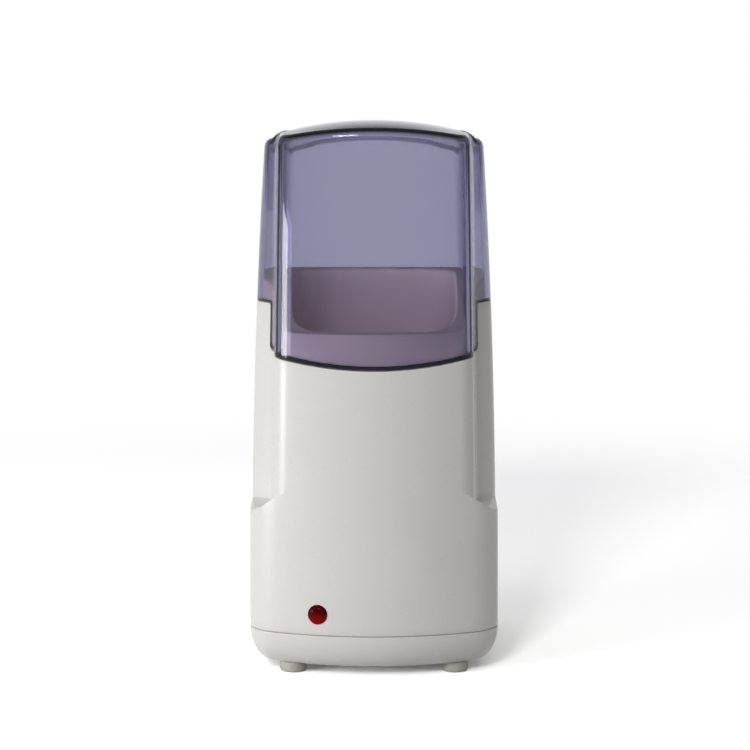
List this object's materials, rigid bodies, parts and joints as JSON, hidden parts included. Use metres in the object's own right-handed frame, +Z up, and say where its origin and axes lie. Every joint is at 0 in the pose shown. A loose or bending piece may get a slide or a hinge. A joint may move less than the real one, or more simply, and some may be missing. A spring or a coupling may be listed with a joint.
{
  "type": "yogurt maker",
  "caption": "Upright electric yogurt maker with a square well for a tall milk carton, a clear violet lift-off hood, a red pilot lamp and short round feet.",
  "frame": {"origin": "centre of the whole object's footprint box, on the plane that the feet stand on", "axes": "+Z up; -Y is the front, with the pilot lamp; +X is to the right seen from the front"},
  "size_m": [0.1244, 0.1245, 0.2703],
  "materials": {
    "shell_white": "satin moulded, fine texture",
    "well_white": "satin moulded",
    "violet_clear": "polished transparent plastic",
    "aluminium": "rolled",
    "heater_red": "silicone sheet",
    "felt": "needled felt",
    "steel": "zinc plated",
    "screw_steel": "zinc plated",
    "black_plastic": "moulded",
    "fuse_body": "ceramic coating",
    "lamp_red": "polished transparent red",
    "spring_black": "blackened spring steel",
    "bulb_glass": "clear",
    "board_green": "solder mask",
    "brass": "plated",
    "foot_rubber": "moulded",
    "foil": "printed foil, blank",
    "lead_brown": "insulation",
    "lead_blue": "insulation"
  },
  "bodies": {
    "base": {"body_shell": "shell_white", "base_cover": "shell_white", "carton_well": "well_white", "heater_plate": "aluminium", "heater_mat": "heater_red", "insulation_pad": "felt", "clamp_plate": "steel", "clamp_screws": "screw_steel", "thermostat": "black_plastic", "thermostat_screws": "screw_steel", "thermal_fuse": "fuse_body", "fuse_clip": "steel", "lamp_lens": "lamp_red", "lamp_ring": "spring_black", "lamp_bulb": "bulb_glass", "circuit_board": "board_green", "dropper_resistor": "fuse_body", "board_screws": "screw_steel", "terminal_block": "well_white", "terminal_screws": "brass", "cord_gland": "black_plastic", "cord_clamp": "well_white", "cord_clamp_screws": "screw_steel", "base_screws": "screw_steel", "foot_front_left": "foot_rubber", "foot_front_right": "foot_rubber", "foot_rear_left": "foot_rubber", "foot_rear_right": "foot_rubber", "rating_plate": "foil", "live_lead": "lead_brown", "neutral_lead": "lead_blue", "lamp_lead": "lead_brown"},
    "hood": {"clear_hood": "violet_clear"}
  },
  "joints": [
    {"name": "hood_lift", "type": "slide", "parent": "base", "child": "hood", "axis": [0, 0, 1], "range_m": [0, 0.12]}
  ]
}
